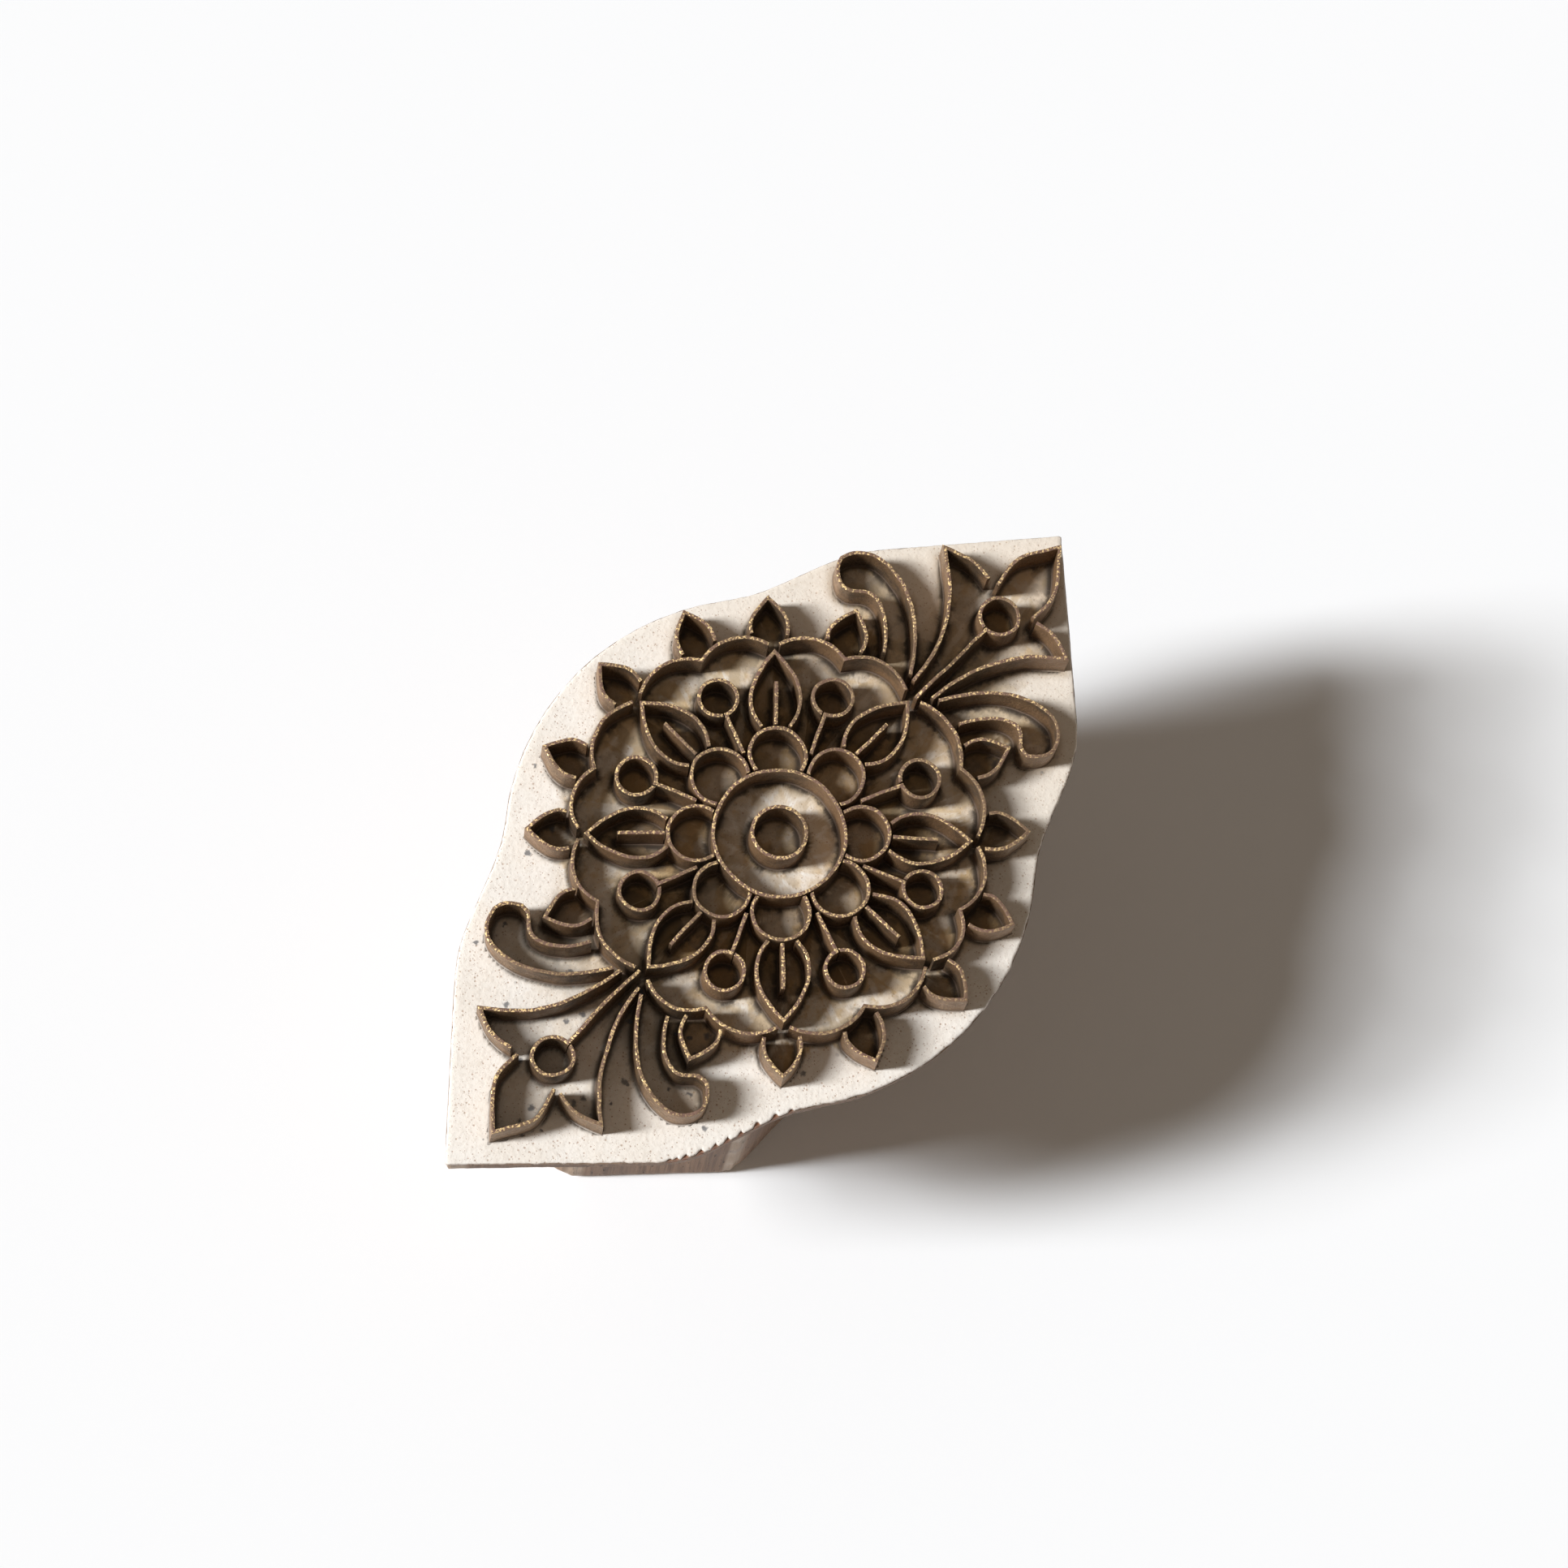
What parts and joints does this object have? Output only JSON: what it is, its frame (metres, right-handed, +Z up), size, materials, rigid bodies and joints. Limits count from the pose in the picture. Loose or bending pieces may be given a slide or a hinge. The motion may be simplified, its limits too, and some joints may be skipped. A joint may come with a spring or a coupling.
{
  "type": "wooden printing block",
  "caption": "Hand block for printing cloth: carved wooden block, chalked face, rosette and two fleurs of brass strip set on edge.",
  "frame": {"origin": "middle of the handle's flat end, under the middle of the block", "axes": "+Z up from the handle's end to the printing face, +X along the long axis of the face to the tip nearer to its fleur, +Y across"},
  "size_m": [0.1092, 0.064, 0.052],
  "materials": {
    "wood": "worn, oiled by hand",
    "chalk": "matt chalk ground",
    "brass": "tarnished, with filed tops"
  },
  "bodies": {
    "root": {"wood_block": "wood", "chalk_ground": "chalk", "centre_eye": "brass", "centre_ring": "brass", "petal_1": "brass", "petal_2": "brass", "petal_3": "brass", "petal_4": "brass", "petal_5": "brass", "petal_6": "brass", "petal_7": "brass", "petal_8": "brass", "leaf_1": "brass", "leaf_2": "brass", "leaf_3": "brass", "leaf_4": "brass", "leaf_5": "brass", "leaf_6": "brass", "leaf_7": "brass", "leaf_8": "brass", "leaf_veins": "brass", "berry_1": "brass", "berry_2": "brass", "berry_3": "brass", "berry_4": "brass", "berry_5": "brass", "berry_6": "brass", "berry_7": "brass", "berry_8": "brass", "contour_1": "brass", "contour_2": "brass", "contour_3": "brass", "contour_4": "brass", "contour_5": "brass", "contour_6": "brass", "contour_7": "brass", "contour_8": "brass", "bud_1": "brass", "bud_2": "brass", "bud_3": "brass", "bud_4": "brass", "bud_5": "brass", "bud_6": "brass", "bud_7": "brass", "bud_8": "brass", "bud_9": "brass", "bud_10": "brass", "bud_11": "brass", "bud_12": "brass", "bud_13": "brass", "bud_14": "brass", "fleur_a_stem": "brass", "fleur_a_tip": "brass", "fleur_a_blades": "brass", "fleur_a_curls": "brass", "fleur_b_stem": "brass", "fleur_b_tip": "brass", "fleur_b_blades": "brass", "fleur_b_curls": "brass"}
  },
  "joints": []
}
